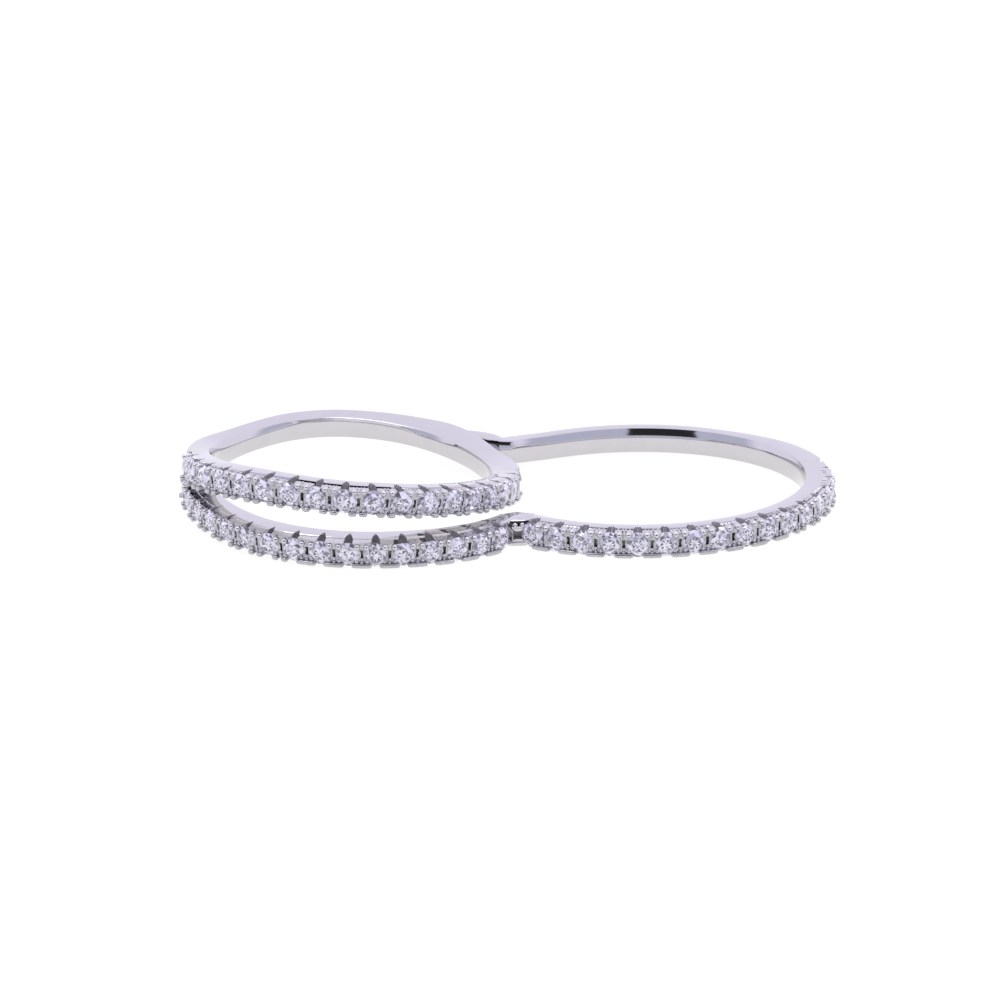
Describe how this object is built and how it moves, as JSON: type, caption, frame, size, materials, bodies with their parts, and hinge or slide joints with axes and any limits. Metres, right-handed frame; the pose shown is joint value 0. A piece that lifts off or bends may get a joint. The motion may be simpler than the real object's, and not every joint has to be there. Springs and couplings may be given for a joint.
{
  "type": "two-finger pavé ring",
  "caption": "Two-finger ring lying on its side: two joined finger loops, one raised over a lower crossing band, with paved rows along the front.",
  "frame": {"origin": "middle of the box round the ring, on the surface that the ring lies on", "axes": "+X along the joined width towards the right finger hole, -Y towards the front that carries the stones, +Z along the finger axis and upwards as the ring lies"},
  "size_m": [0.04, 0.0215, 0.005],
  "materials": {
    "rhodium_silver": "polished, rhodium-plated sterling silver",
    "pave_right": "clear brilliant-cut stones in silver beads",
    "pave_lower": "clear brilliant-cut stones in silver beads",
    "pave_upper": "clear brilliant-cut stones in silver beads"
  },
  "bodies": {
    "root": {"ring_band": "rhodium_silver", "stones_right": "pave_right", "stones_lower": "pave_lower", "stones_upper": "pave_upper"}
  },
  "joints": []
}
